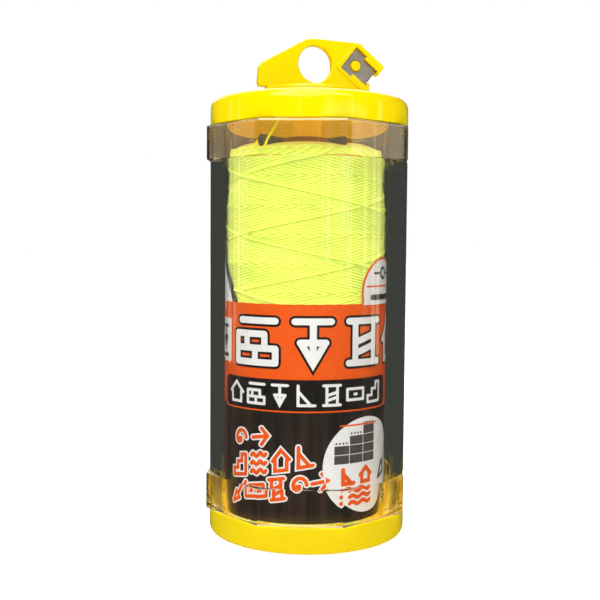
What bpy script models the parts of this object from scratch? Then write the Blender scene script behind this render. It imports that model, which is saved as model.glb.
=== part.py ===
"""Hand-held dispenser for builder's line.

A clear case closed by two push-on caps holds a refill spool of line. The lid
carries a hanging tab with a small cutter blade. Metres, +Z up, origin at the
centre of the bottom cap's flat base. The lid and the case have their origins on
the common vertical axis, along which they slide, and the spool has its own on
the axis that it turns about.
"""

import math

import bmesh
import bpy
from mathutils import Matrix, Vector

# Fits
GAP = 0.0003                   # clearance between faces that meet
SOFT = 0.0003                  # small edge rounding
WELD = 0.0003                  # how far two shapes overlap before they are joined
OVERSHOOT = 0.001              # how far a cutter runs past the face that it cuts
SEGMENTS = 72                  # sides of a turned piece
CASE_SEGMENTS = 96

# Clear case: a round tube between two octagonal collars, with a neck at each end
BORE_R = 0.0276
TUBE_R = 0.0309
NECK_R = 0.0287
NECK_BEAD = 0.0003             # height of the retaining bead around each neck
BEAD_AT = (0.0022, 0.0038)     # where the bead starts and ends, from the neck's open edge
FLAT_R = 0.0305                # half the width across a collar's flats
COLLAR_YAW = math.radians(-3.94)
COLLAR_EDGE = 0.0004
LOWER_COLLAR = (0.0084, 0.0194)
UPPER_COLLAR = (0.1159, 0.1263)
NECK_LENGTH = 0.0053
LOWER_NECK_LENGTH = 0.0062

# Caps
CAP_R = 0.0310
CAP_EDGE_R = 0.0024
CAP_SKIRT_R = 0.0293           # inside of both caps' skirts
CAP_FLOOR = 0.0018
LID_R = 0.0309
LID_EDGE_R = 0.0034
LID_SHOULDER_Z = 0.1350        # where the lid's rounded edge meets its top
LID_CROWN_Z = 0.1356           # foot of the boss
LID_CEILING_Z = 0.1321
BOSS_R = 0.0152
BOSS_TOP_Z = 0.1386
BOSS_WALL = 0.0018
BOSS_EDGE_R = 0.0010
SPIGOT_R = 0.0064
SPIGOT_WALL = 0.0014
SPIGOT_LENGTH = 0.0120
SPIGOT_REACH = 0.0080          # how deep the lid's spigot sits in the core
SPIGOT_CHAMFER = (0.0005, 0.0010)
SEAT_WIDTH = 0.0020            # ledge round the lower spigot that the core stands on

# Hanging tab, drawn in its own plane: X along the tab, Z up, front face at -Y
TAB_YAW = math.radians(20)
TAB_THICKNESS = 0.0026
TAB_FOOT_Z = 0.1389
TAB_HOLE = (0.0015, 0.1468)
TAB_HOLE_R = 0.0056
TAB_END = 0.0062               # the tab's right-hand end, along the blade
TAB_TOP = 0.0060               # its sloping upper edge, across the blade
TAB_ROOT = 0.0008              # how deep the tab is rooted in the boss
NOTCH = (-0.0014, 0.0022)      # mouth that leads the line onto the cutting edge
NOTCH_DEPTH = 0.0040

# Cutter blade and its pocket, placed by the blade's middle in the tab's plane
BLADE_AT = (0.01665, 0.1465)
BLADE_TILT = math.radians(-38)
BLADE_LENGTH = 0.0097
BLADE_WIDTH = 0.0082
BLADE_THICKNESS = 0.0004
BLADE_HOLE_R = 0.0019
BLADE_HOLE = (-0.0015, -0.0003)
BLADE_BEVEL = 0.0009           # width of the ground cutting edge
BLADE_EDGE = 0.0001            # thickness left at the cutting edge
POCKET_END = BLADE_LENGTH / 2 + GAP
POCKET_SIDE = BLADE_WIDTH / 2 + GAP
LIP_THICKNESS = 0.0006
LIP_START = -0.0006
LIP_COVER = 0.0012             # how far each lip reaches over the blade

# Line outlet through the lid, with a well on top for the stop knot
OUTLET = (-0.0086, -0.0230)
OUTLET_R = 0.0010
WELL_R = 0.0024
WELL_DEPTH = 0.0017

# Refill spool, which hangs a little to one side on its loose spigots
SPOOL_SHIFT = -0.0008
CORE_R = 0.0101
CORE_BORE_R = 0.0082
CORE_Z = (0.0030, 0.1232)
WINDING_R = 0.0252
WINDING_SHOULDER_Z = (0.0072, 0.1188)
WINDING_DOME = 0.0032          # how far the package rises towards its core
WINDING_EDGE_R = 0.0016
WINDING_WAIST = 0.0007         # how much narrower the package is towards its ends
WINDING_TAPER = 0.022
FILM_R = 0.0255
FILM_THICKNESS = 0.0003
FILM_Z = (0.0085, 0.1165)
LINE_R = 0.0004
KNOT_R = 0.0012
KNOT_STRETCH = (1.25, 1.0, 0.75)


def clear_scene():
    for item in list(bpy.data.objects):
        bpy.data.objects.remove(item, do_unlink=True)


def material(name, color, roughness, metallic=0.0, transmission=0.0):
    made = bpy.data.materials.new(name)
    made.use_nodes = True
    shader = made.node_tree.nodes["Principled BSDF"]
    shader.inputs["Base Color"].default_value = (*color, 1.0)
    shader.inputs["Roughness"].default_value = roughness
    shader.inputs["Metallic"].default_value = metallic
    shader.inputs["Transmission Weight"].default_value = transmission
    made.diffuse_color = (*color, 1.0)
    return made


def add_object(name, mesh, parent=None):
    item = bpy.data.objects.new(name, mesh)
    bpy.context.collection.objects.link(item)
    item.parent = parent
    return item


def add_axis(name):
    axis = bpy.data.objects.new(name, None)
    bpy.context.collection.objects.link(axis)
    return axis


def mesh_from(bm, name, sharp_degrees=35):
    bmesh.ops.recalc_face_normals(bm, faces=bm.faces)
    mesh = bpy.data.meshes.new(name)
    bm.to_mesh(mesh)
    bm.free()
    mesh.shade_smooth()
    mesh.set_sharp_from_angle(angle=math.radians(sharp_degrees))
    return mesh


def arc(center, radius, start, end, steps=6):
    """Points of an arc in the XZ plane, from start to end in degrees."""
    points = []
    for i in range(steps + 1):
        angle = math.radians(start + (end - start) * i / steps)
        points.append((center[0] + radius * math.cos(angle), center[1] + radius * math.sin(angle)))
    return points


def turned_mesh(name, profile, segments=SEGMENTS):
    """Spin a closed (radius, height) outline about Z into one closed body."""
    bm = bmesh.new()
    ring = [bm.verts.new((radius, 0.0, height)) for radius, height in profile]
    edges = [bm.edges.new((ring[i - 1], ring[i])) for i in range(len(ring))]
    on_axis = [edge for edge in edges if all(vert.co.x < 1e-7 for vert in edge.verts)]
    bmesh.ops.delete(bm, geom=on_axis, context="EDGES")
    bmesh.ops.spin(bm, geom=bm.verts[:] + bm.edges[:], cent=(0, 0, 0), axis=(0, 0, 1),
                   angle=2 * math.pi, steps=segments, use_merge=True)
    bmesh.ops.remove_doubles(bm, verts=bm.verts[:], dist=1e-6)
    return mesh_from(bm, name)


def prism_mesh(name, outline, y_low, y_high):
    """Extrude an (x, z) outline along Y."""
    bm = bmesh.new()
    face = bm.faces.new([bm.verts.new((x, y_low, z)) for x, z in outline])
    grown = bmesh.ops.extrude_face_region(bm, geom=[face])
    raised = [item for item in grown["geom"] if isinstance(item, bmesh.types.BMVert)]
    bmesh.ops.translate(bm, verts=raised, vec=(0, y_high - y_low, 0))
    return mesh_from(bm, name)


def peg_mesh(name, center, radius, y_low, y_high, segments=32):
    """A round peg or cutter along Y, centred on an (x, z) point."""
    outline = []
    for i in range(segments):
        angle = 2 * math.pi * i / segments
        outline.append((center[0] + radius * math.cos(angle), center[1] + radius * math.sin(angle)))
    return prism_mesh(name, outline, y_low, y_high)


def rectangle(x_low, x_high, z_low, z_high):
    return [(x_low, z_low), (x_high, z_low), (x_high, z_high), (x_low, z_high)]


def tool(name, mesh, parent=None):
    """A shape used only by a Boolean."""
    item = add_object(name, mesh, parent)
    item.hide_render = True
    item.display_type = "WIRE"
    return item


def boolean(item, operand, operation):
    step = item.modifiers.new(f"{operation.lower()}_{operand.name}", "BOOLEAN")
    step.operation = operation
    step.solver = "EXACT"
    step.object = operand


def finish(item, look):
    item.data.materials.append(look)
    return item


# Bottom cap

def make_bottom_cap(axis, look):
    top = LOWER_COLLAR[0] - GAP
    seat_top = CORE_Z[0] - GAP
    seat_r = CORE_R + SEAT_WIDTH
    spigot_top = CAP_FLOOR + SPIGOT_LENGTH
    spigot_inside = SPIGOT_R - SPIGOT_WALL
    profile = [(0.0, 0.0)]
    profile += arc((CAP_R - CAP_EDGE_R, CAP_EDGE_R), CAP_EDGE_R, -90, 0, 8)
    profile += [(CAP_R, top), (CAP_SKIRT_R, top), (CAP_SKIRT_R, CAP_FLOOR)]
    profile += [(seat_r, CAP_FLOOR), (seat_r, seat_top), (SPIGOT_R, seat_top)]
    profile += [(SPIGOT_R, spigot_top - SPIGOT_CHAMFER[1]), (SPIGOT_R - SPIGOT_CHAMFER[0], spigot_top)]
    profile += [(spigot_inside, spigot_top), (spigot_inside, CAP_FLOOR), (0.0, CAP_FLOOR)]
    cap = add_object("bottom_cap", turned_mesh("bottom_cap", profile), axis)
    return finish(cap, look)


# Clear case

def collar_mesh(name, z_low, z_high):
    """An octagonal ring with softened edges and a round hole wider than the bore."""
    corner_r = FLAT_R / math.cos(math.pi / 8)
    bm = bmesh.new()
    turn = Matrix.Rotation(COLLAR_YAW + math.pi / 8, 4, "Z")
    place = Matrix.Translation((0, 0, (z_low + z_high) / 2)) @ turn
    bmesh.ops.create_cone(bm, cap_ends=True, segments=8, radius1=corner_r, radius2=corner_r,
                          depth=z_high - z_low, matrix=place)
    bmesh.ops.bevel(bm, geom=bm.edges[:], offset=COLLAR_EDGE, segments=2, affect="EDGES", profile=0.5)
    return mesh_from(bm, name)


def neck_profile(edge, inwards):
    """The outside of a neck from its open edge to its root; inwards is 1 if the root is above."""
    start, end = BEAD_AT
    bead_r = NECK_R + NECK_BEAD
    slope = SOFT + 0.0001
    steps = [(NECK_R - SOFT, 0.0), (NECK_R, SOFT), (NECK_R, start), (bead_r, start + slope)]
    steps += [(bead_r, end - slope), (NECK_R, end)]
    return [(radius, edge + inwards * rise) for radius, rise in steps]


def make_clear_case(axis, look):
    low = LOWER_COLLAR[0] - LOWER_NECK_LENGTH
    high = UPPER_COLLAR[1] + NECK_LENGTH
    waist_r = FLAT_R - 0.0009
    profile = [(BORE_R + SOFT, low)] + neck_profile(low, 1)
    profile += [(NECK_R, LOWER_COLLAR[0] + WELD), (waist_r, LOWER_COLLAR[0] + 2 * WELD)]
    profile += [(waist_r, LOWER_COLLAR[1] - WELD), (TUBE_R, LOWER_COLLAR[1] - WELD)]
    profile += [(TUBE_R, UPPER_COLLAR[0] + WELD), (waist_r, UPPER_COLLAR[0] + WELD)]
    profile += [(waist_r, UPPER_COLLAR[1] - 2 * WELD), (NECK_R, UPPER_COLLAR[1] - WELD)]
    profile += neck_profile(high, -1)[::-1]
    profile += [(BORE_R + SOFT, high), (BORE_R, high - SOFT), (BORE_R, low + SOFT)]
    case = add_object("clear_case", turned_mesh("clear_case", profile, CASE_SEGMENTS), axis)
    hole_r = (BORE_R + waist_r) / 2
    for name, (z_low, z_high) in (("lower", LOWER_COLLAR), ("upper", UPPER_COLLAR)):
        collar = tool(f"{name}_collar", collar_mesh(f"{name}_collar", z_low, z_high), axis)
        start, end = z_low - OVERSHOOT, z_high + OVERSHOOT
        hole_profile = [(0, start), (hole_r, start), (hole_r, end), (0, end)]
        hole_mesh = turned_mesh("collar_hole", hole_profile, CASE_SEGMENTS)
        hole = tool(f"{name}_collar_hole", hole_mesh, axis)
        boolean(collar, hole, "DIFFERENCE")
        boolean(case, collar, "UNION")
    return finish(case, look)


# Lid with its hanging tab

def blade_point(along, across):
    """A point of the blade's own frame as an (x, z) point of the tab's plane."""
    cos, sin = math.cos(BLADE_TILT), math.sin(BLADE_TILT)
    return (BLADE_AT[0] + along * cos - across * sin, BLADE_AT[1] + along * sin + across * cos)


def blade_outline(along_low, along_high, across_low, across_high):
    corners = rectangle(along_low, along_high, across_low, across_high)
    return [blade_point(along, across) for along, across in corners]


def tab_outline():
    foot_half = BOSS_R - 0.0014
    foot_step = 0.0006
    outline = [(-foot_half, BOSS_TOP_Z - TAB_ROOT), (foot_half, BOSS_TOP_Z - TAB_ROOT)]
    outline += [(foot_half + foot_step, TAB_FOOT_Z), (0.0199, TAB_FOOT_Z)]
    outline += [blade_point(0.0054, NOTCH[0]), blade_point(NOTCH_DEPTH, NOTCH[0])]
    outline += [blade_point(NOTCH_DEPTH, NOTCH[1]), blade_point(TAB_END, NOTCH[1])]
    outline += [blade_point(TAB_END, TAB_TOP), blade_point(-0.0050, TAB_TOP)]
    outline += [(0.0014, 0.1546), (-0.0015, 0.1543)]
    outline += [(-0.0161, 0.1461), (-0.0168, 0.1450)]
    outline += [(-0.0172, 0.1400), (-0.0169, TAB_FOOT_Z), (-foot_half - foot_step, TAB_FOOT_Z)]
    return outline


def make_tab(axis):
    front = -TAB_THICKNESS / 2
    back = TAB_THICKNESS / 2
    slot_front = front + LIP_THICKNESS
    slot_back = slot_front + BLADE_THICKNESS + 2 * GAP
    bm = bmesh.new()
    bm.from_mesh(prism_mesh("tab", tab_outline(), front, back))
    rim = [edge for edge in bm.edges if abs(edge.verts[0].co.y - edge.verts[1].co.y) < 1e-6]
    bmesh.ops.bevel(bm, geom=rim, offset=SOFT, segments=2, affect="EDGES", profile=0.5)
    tab = tool("tab", mesh_from(bm, "tab"), axis)

    hole_mesh = peg_mesh("tab_hole", TAB_HOLE, TAB_HOLE_R, front - OVERSHOOT, back + OVERSHOOT, 48)
    hole = tool("tab_hole", hole_mesh, axis)
    pocket_shape = blade_outline(-POCKET_END, POCKET_END, -POCKET_SIDE, POCKET_SIDE)
    pocket_mesh = prism_mesh("blade_pocket", pocket_shape, front - OVERSHOOT, slot_back)
    pocket = tool("blade_pocket", pocket_mesh, axis)
    boolean(tab, hole, "DIFFERENCE")
    boolean(tab, pocket, "DIFFERENCE")

    inner = POCKET_SIDE - LIP_COVER
    outer = POCKET_SIDE + WELD
    for name, low, high in (("upper", inner, outer), ("lower", -outer, -inner)):
        shape = blade_outline(LIP_START, POCKET_END + WELD, low, high)
        lip = tool(f"{name}_lip", prism_mesh(f"{name}_lip", shape, front, slot_front), axis)
        boolean(tab, lip, "UNION")
    peg_front, peg_back = front + SOFT, back - SOFT
    peg_shape = peg_mesh("blade_peg", blade_point(*BLADE_HOLE), BLADE_HOLE_R - GAP, peg_front, peg_back)
    peg = tool("blade_peg", peg_shape, axis)
    boolean(tab, peg, "UNION")
    return tab


def outlet_mesh():
    """The line outlet: a narrow hole below, and the knot's well above it."""
    low = LID_CEILING_Z - 2 * OVERSHOOT
    floor = LID_SHOULDER_Z - WELL_DEPTH
    profile = [(0, low), (OUTLET_R, low), (OUTLET_R, floor), (WELL_R - SOFT, floor)]
    profile += [(WELL_R, LID_SHOULDER_Z - SOFT), (WELL_R + 2 * SOFT, BOSS_TOP_Z), (0, BOSS_TOP_Z)]
    return turned_mesh("line_outlet", profile, 24)


def lid_profile():
    bottom = UPPER_COLLAR[1] + GAP
    ceiling = BOSS_TOP_Z - BOSS_WALL
    spigot_low = CORE_Z[1] - SPIGOT_REACH
    spigot_inside = SPIGOT_R - SPIGOT_WALL
    boss_inside = BOSS_R - BOSS_WALL
    profile = [(0.0, ceiling), (spigot_inside, ceiling), (spigot_inside, spigot_low)]
    profile += [(SPIGOT_R - SPIGOT_CHAMFER[0], spigot_low), (SPIGOT_R, spigot_low + SPIGOT_CHAMFER[1])]
    profile += [(SPIGOT_R, ceiling), (boss_inside, ceiling), (boss_inside, LID_CEILING_Z + SOFT)]
    profile += [(CAP_SKIRT_R, LID_CEILING_Z), (CAP_SKIRT_R, bottom)]
    profile += [(LID_R - SOFT, bottom), (LID_R, bottom + SOFT)]
    profile += arc((LID_R - LID_EDGE_R, LID_SHOULDER_Z - LID_EDGE_R), LID_EDGE_R, 0, 90, 8)
    profile += [(BOSS_R + 0.0060, LID_CROWN_Z - 0.0002), (BOSS_R + 0.0010, LID_CROWN_Z)]
    profile += [(BOSS_R, LID_CROWN_Z + 0.0008)]
    profile += arc((BOSS_R - BOSS_EDGE_R, BOSS_TOP_Z - BOSS_EDGE_R), BOSS_EDGE_R, 0, 90, 4)
    return profile + [(0.0, BOSS_TOP_Z)]


def make_lid(axis, look):
    lid = add_object("lid", turned_mesh("lid", lid_profile()), axis)
    tab_frame = add_axis("tab_frame")
    tab_frame.parent = axis
    tab_frame.rotation_euler.z = TAB_YAW
    boolean(lid, make_tab(tab_frame), "UNION")
    outlet = tool("line_outlet", outlet_mesh(), axis)
    outlet.location = (OUTLET[0], OUTLET[1], 0)
    boolean(lid, outlet, "DIFFERENCE")
    return finish(lid, look), tab_frame


def make_cutter_blade(tab_frame, look):
    """A flat blade, ground to an edge at its open end and seated in the tab's pocket."""
    half_length, half_width = BLADE_LENGTH / 2, BLADE_WIDTH / 2
    front = -TAB_THICKNESS / 2 + LIP_THICKNESS + GAP
    back = front + BLADE_THICKNESS
    middle = (front + back) / 2
    bevel_start = half_length - BLADE_BEVEL
    section = [(-half_length, front), (bevel_start, front), (half_length, middle - BLADE_EDGE / 2)]
    section += [(half_length, middle + BLADE_EDGE / 2), (bevel_start, back), (-half_length, back)]
    bm = bmesh.new()
    side = bm.faces.new([bm.verts.new((along, depth, -half_width)) for along, depth in section])
    grown = bmesh.ops.extrude_face_region(bm, geom=[side])
    raised = [item for item in grown["geom"] if isinstance(item, bmesh.types.BMVert)]
    bmesh.ops.translate(bm, verts=raised, vec=(0, 0, BLADE_WIDTH))
    blade = add_object("cutter_blade", mesh_from(bm, "cutter_blade", 12), tab_frame)
    blade.location = (BLADE_AT[0], 0, BLADE_AT[1])
    blade.rotation_euler.y = -BLADE_TILT
    hole_mesh = peg_mesh("blade_hole", BLADE_HOLE, BLADE_HOLE_R, front - OVERSHOOT, back + OVERSHOOT)
    hole = tool("blade_hole", hole_mesh, tab_frame)
    hole.location = blade.location
    hole.rotation_euler = blade.rotation_euler
    boolean(blade, hole, "DIFFERENCE")
    return finish(blade, look)


# Refill spool

def make_spool_core(axis, look):
    low, high = CORE_Z
    profile = [(CORE_BORE_R, low), (CORE_R, low), (CORE_R, high), (CORE_BORE_R, high)]
    core = add_object("spool_core", turned_mesh("spool_core", profile, 48), axis)
    return finish(core, look)


def make_line_winding(axis, look):
    """The wound package: nearly cylindrical, with rounded shoulders and domed ends."""
    low, high = WINDING_SHOULDER_Z
    inside = CORE_R + GAP
    edge = WINDING_EDGE_R
    top_r = WINDING_R - WINDING_WAIST
    profile = [(inside, low - WINDING_DOME), ((inside + top_r) / 2, low - WINDING_DOME * 0.6)]
    profile += arc((top_r - edge, low + edge), edge, -80, 0, 4)
    profile += [(WINDING_R, low + WINDING_TAPER), (WINDING_R, high - WINDING_TAPER)]
    profile += arc((top_r - edge, high - edge), edge, 0, 80, 4)
    profile += [((inside + top_r) / 2, high + WINDING_DOME * 0.6), (inside, high + WINDING_DOME)]
    winding = add_object("line_winding", turned_mesh("line_winding", profile), axis)
    return finish(winding, look)


def make_film_label(axis, look):
    low, high = FILM_Z
    outside = FILM_R + FILM_THICKNESS
    profile = [(FILM_R, low), (outside, low), (outside, high), (FILM_R, high)]
    label = add_object("film_label", turned_mesh("film_label", profile), axis)
    return finish(label, look)


# Line from the package to the outlet

def smooth_route(stations, spacing):
    """Points along a Catmull-Rom curve through the stations."""
    points = []
    last = len(stations) - 1
    for i in range(last):
        before, start = stations[max(i - 1, 0)], stations[i]
        end, after = stations[i + 1], stations[min(i + 2, last)]
        steps = max(1, round((end - start).length / spacing))
        for k in range(steps):
            t = k / steps
            bend = (2 * before - 5 * start + 4 * end - after) * t * t
            twist = (3 * start - before - 3 * end + after) * t ** 3
            points.append(0.5 * (2 * start + (end - before) * t + bend + twist))
    points.append(stations[last])
    return points


def line_tube(name, stations, axis, look):
    curve = bpy.data.curves.new(name, "CURVE")
    curve.dimensions = "3D"
    curve.bevel_depth = LINE_R
    curve.bevel_resolution = 2
    curve.use_fill_caps = True
    points = smooth_route([Vector(station) for station in stations], 5 * LINE_R)
    spline = curve.splines.new("POLY")
    spline.points.add(len(points) - 1)
    for target, point in zip(spline.points, points):
        target.co = (*point, 1.0)
    spline.use_smooth = True
    return finish(add_object(name, curve, axis), look)


def make_line_strand(axis, look):
    """The strand that leaves the package's shoulder and rises to the outlet."""
    x, y = OUTLET
    top = LID_SHOULDER_Z - WELL_DEPTH
    stations = [(-0.0141, -0.0206, 0.1190), (-0.0128, -0.0218, 0.1212), (-0.0102, -0.0227, 0.1254)]
    stations += [(x - 0.0004, y, 0.1284), (x, y, 0.1315), (x, y, top)]
    return line_tube("line_strand", stations, axis, look)


def make_line_end_knot(axis, look):
    """The stop knot that keeps the line's end in the lid's well."""
    length, depth, height = KNOT_STRETCH
    bm = bmesh.new()
    bmesh.ops.create_icosphere(bm, subdivisions=2, radius=KNOT_R)
    bmesh.ops.scale(bm, vec=(length, depth, height), verts=bm.verts)
    knot = add_object("line_end_knot", mesh_from(bm, "line_end_knot", 60), axis)
    knot.location = (OUTLET[0], OUTLET[1], LID_SHOULDER_Z - WELL_DEPTH + GAP + KNOT_R * height)
    return finish(knot, look)


def main():
    clear_scene()
    yellow = material("yellow_plastic", (0.90, 0.72, 0.01), 0.32)
    clear = material("clear_plastic", (0.80, 0.80, 0.76), 0.06, transmission=0.9)
    steel = material("blade_steel", (0.50, 0.46, 0.44), 0.28, metallic=1.0)
    kraft = material("kraft_board", (0.50, 0.27, 0.10), 0.85)
    nylon = material("fluorescent_line", (0.72, 0.95, 0.07), 0.45)
    film = material("printed_film", (0.86, 0.16, 0.04), 0.30)

    base_axis = add_axis("base_axis")
    case_axis = add_axis("case_axis")
    lid_axis = add_axis("lid_axis")
    spool_axis = add_axis("spool_axis")
    case_axis.parent = base_axis
    spool_axis.parent = base_axis
    lid_axis.parent = case_axis
    spool_axis.location.x = SPOOL_SHIFT

    make_bottom_cap(base_axis, yellow)
    make_clear_case(case_axis, clear)
    tab_frame = make_lid(lid_axis, yellow)[1]
    make_cutter_blade(tab_frame, steel)
    make_spool_core(spool_axis, kraft)
    make_line_winding(spool_axis, nylon)
    make_film_label(spool_axis, film)
    make_line_strand(lid_axis, nylon)
    make_line_end_knot(lid_axis, nylon)


main()
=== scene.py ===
"""Looks of the builder's line dispenser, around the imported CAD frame.

Every piece is made in metres in the frame's own coordinates. Turned pieces come
from rounded outlines, the package is really wound from one strand, and the print
on the film is thin layers wrapped from flat drawings.
"""

import math
import random

import bmesh
import bpy
import numpy as np
from mathutils import Matrix, Vector


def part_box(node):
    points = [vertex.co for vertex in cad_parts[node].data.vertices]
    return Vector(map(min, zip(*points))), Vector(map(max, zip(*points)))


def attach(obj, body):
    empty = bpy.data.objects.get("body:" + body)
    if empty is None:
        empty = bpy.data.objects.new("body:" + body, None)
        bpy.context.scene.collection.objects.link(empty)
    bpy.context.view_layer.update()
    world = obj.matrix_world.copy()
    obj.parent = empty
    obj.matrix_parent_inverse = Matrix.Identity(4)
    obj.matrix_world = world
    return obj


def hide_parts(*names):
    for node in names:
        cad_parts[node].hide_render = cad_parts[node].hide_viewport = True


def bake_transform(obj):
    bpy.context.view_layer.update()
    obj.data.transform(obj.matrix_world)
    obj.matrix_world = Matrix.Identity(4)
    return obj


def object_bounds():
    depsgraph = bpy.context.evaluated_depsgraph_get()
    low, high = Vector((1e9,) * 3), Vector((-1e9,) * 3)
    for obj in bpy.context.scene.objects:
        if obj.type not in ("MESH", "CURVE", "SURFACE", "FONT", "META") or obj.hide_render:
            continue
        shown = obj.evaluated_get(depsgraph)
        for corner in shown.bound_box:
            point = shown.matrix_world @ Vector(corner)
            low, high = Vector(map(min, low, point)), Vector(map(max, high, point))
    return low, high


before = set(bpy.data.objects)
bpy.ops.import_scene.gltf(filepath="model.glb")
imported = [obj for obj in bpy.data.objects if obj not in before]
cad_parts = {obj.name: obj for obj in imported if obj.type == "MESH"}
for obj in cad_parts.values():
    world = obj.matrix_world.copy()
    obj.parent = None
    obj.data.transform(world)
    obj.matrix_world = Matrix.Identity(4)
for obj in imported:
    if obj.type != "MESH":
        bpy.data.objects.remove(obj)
CAD_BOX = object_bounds()

# Places and sizes that come from the frame
CAP_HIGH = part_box("bottom_cap")[1]
CASE_LOW, CASE_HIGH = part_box("clear_case")
CORE_LOW, CORE_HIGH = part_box("spool_core")
WOUND_LOW, WOUND_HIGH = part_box("line_winding")
FILM_LOW, FILM_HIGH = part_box("film_label")
KNOT_LOW, KNOT_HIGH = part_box("line_end_knot")

# Camera: a lens about 300 mm in front of the case, looking slightly down
CAMERA_AT = (-0.0025, -0.30445, 0.0913)
CAMERA_DOWN = math.radians(3.49)
CAMERA_ROLL = math.radians(0.44)
CAMERA_LENS = 57.53

# Turned pieces
SEGMENTS = 176
GAP = 0.0003
CAP_R = CAP_HIGH.x
SKIRT_R = 0.0293
SPIGOT_R = 0.0064
SPIGOT_BORE_R = 0.0050
SPIGOT_LENGTH = 0.0120
CAP_FLOOR_Z = 0.0018

# Clear case
BORE_R = 0.0276
TUBE_R = 0.0309
NECK_R = 0.0287
NECK_BEAD = 0.0003
FLAT_R = 0.0305
COLLAR_YAW = math.radians(-3.94)
COLLAR_CORNER_R = 0.03285
LOWER_COLLAR = (0.0084, 0.0194)
UPPER_COLLAR = (0.1159, 0.1263)
EDGE_BAND = 0.0007             # the band at each collar's edge next to its cap, which carries a painted highlight
CORNER_SIDE = (0.0225, 0.0245)    # the lower collar's painted warm glow sets in at its corners over these
CORNER_DEPTH = (0.0095, 0.0130)   # distances from the middle along X and along Y

# Lid
LID_R = 0.0309
LID_EDGE_R = 0.0034
LID_SHOULDER_Z = 0.1350
LID_CROWN_Z = 0.1356
LID_CEILING_Z = 0.1321
BOSS_R = 0.0152
BOSS_TOP_Z = 0.1386
BOSS_WALL = 0.0018

# Hanging tab, drawn in its own plane: X along the tab, Z up, front face at -Y
TAB_YAW = math.radians(20)
TAB_THICKNESS = 0.0026
TAB_FOOT_Z = 0.1389
TAB_HOLE = (0.0015, 0.1468)
TAB_HOLE_R = 0.0056
TAB_END = 0.0062
TAB_TOP = 0.0060
NOTCH = (-0.0014, 0.0022)
NOTCH_DEPTH = 0.0040

# Cutter blade and its pocket
BLADE_AT = (0.01665, 0.1465)
BLADE_TILT = math.radians(-38)
BLADE_LENGTH = 0.0097
BLADE_WIDTH = 0.0082
BLADE_THICKNESS = 0.0004
BLADE_HOLE = (-0.0015, -0.0003)
BLADE_HOLE_R = 0.0019
BLADE_BEVEL = 0.0009
POCKET_END = BLADE_LENGTH / 2 + GAP
POCKET_SIDE = BLADE_WIDTH / 2 + GAP
LIP_THICKNESS = 0.0006
LIP_START = -0.0006
LIP_COVER = 0.0012
HOUSING_RISE = 0.00035         # how far the blade's housing stands out of the tab's front

# Line outlet and the stop knot's well
OUTLET = (-0.0086, -0.0230)
OUTLET_R = 0.0010
WELL_R = 0.0024
WELL_DEPTH = 0.0017

# Wound line
SPOOL_X = (CORE_LOW.x + CORE_HIGH.x) / 2
CORE_R = (CORE_HIGH.x - CORE_LOW.x) / 2
CORE_BORE_R = 0.0082
LINE_HALF_WIDTH = 0.00043
LINE_HALF_HEIGHT = 0.00033
BED_R = 0.0235                 # surface that the outermost two layers lie on
BED_SHOULDER_R = 0.0009
WAIST = 0.0008                 # how much the package narrows just below its top
WAIST_Z = 0.1100
WAIST_REACH = 0.0050
BED_Z = (0.0084, 0.1176)
TRAVERSE_TURNS = 3.2561        # two traverses make six and a half turns and one line's width
PASSES = 82
REVERSAL_Z = (0.0069, 0.1191)  # turning points, measured along the package's outline
REVERSAL_EASE = 0.05           # turns over which the line turns back
START_TURN = 0.62
END_CREST = -0.0012            # height of the bed's domed end above the end that the frame gives
END_DROP = 0.0026
STRAND_R = 0.00034

# Film, and its print in millimetres: round the film from the front to the right, and up
FILM_R = 0.0253
FILM_SKIRT = 0.0005            # how far the film reaches below the CAD film's edge
FILM_THICKNESS = 0.00010
INK = 0.00003
MM = 0.001
ROUND_FILM = 2 * math.pi * FILM_R / MM
BAND = (41.2, 73.0)            # lower and upper edge of the orange band
BAND_BACK = 82.0               # from a sign on the band's front to its copy at the back


# Helpers

def link(item):
    bpy.context.collection.objects.link(item)
    return item


def from_bmesh(name, bm, look=None, sharp_degrees=35):
    bmesh.ops.recalc_face_normals(bm, faces=bm.faces)
    mesh = bpy.data.meshes.new(name)
    bm.to_mesh(mesh)
    bm.free()
    mesh.shade_smooth()
    mesh.set_sharp_from_angle(angle=math.radians(sharp_degrees))
    if look:
        mesh.materials.append(look)
    return link(bpy.data.objects.new(name, mesh))


def applied(item):
    """Replace an object's mesh by what its modifiers make of it."""
    graph = bpy.context.evaluated_depsgraph_get()
    mesh = bpy.data.meshes.new_from_object(item.evaluated_get(graph))
    item.modifiers.clear()
    item.data = mesh
    return item


def boolean(item, operand, operation):
    step = item.modifiers.new(operation.lower(), "BOOLEAN")
    step.operation = operation
    step.solver = "EXACT"
    step.object = operand
    applied(item)
    bpy.data.objects.remove(operand, do_unlink=True)
    return item


def even_shading(item, sharp_degrees):
    """Flat faces keep flat normals beside their rounded edges."""
    item.data.shade_smooth()
    item.data.set_sharp_from_angle(angle=math.radians(sharp_degrees))
    step = item.modifiers.new("even", "WEIGHTED_NORMAL")
    step.keep_sharp = True
    step.weight = 80
    return applied(item)


def on_circle(center, radius, angle):
    return (center[0] + radius * math.cos(angle), center[1] + radius * math.sin(angle))


def arc(center, radius, start, end, steps=6):
    angles = [math.radians(start + (end - start) * i / steps) for i in range(steps + 1)]
    return [on_circle(center, radius, angle) for angle in angles]


def mitre(first, second, amount, least):
    """The move to the left that shifts a corner with its two edges by an amount."""
    side = Vector((-first.y, first.x)) + Vector((-second.y, second.x))
    return side * (amount / max(1.0 + first.dot(second), least))


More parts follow.
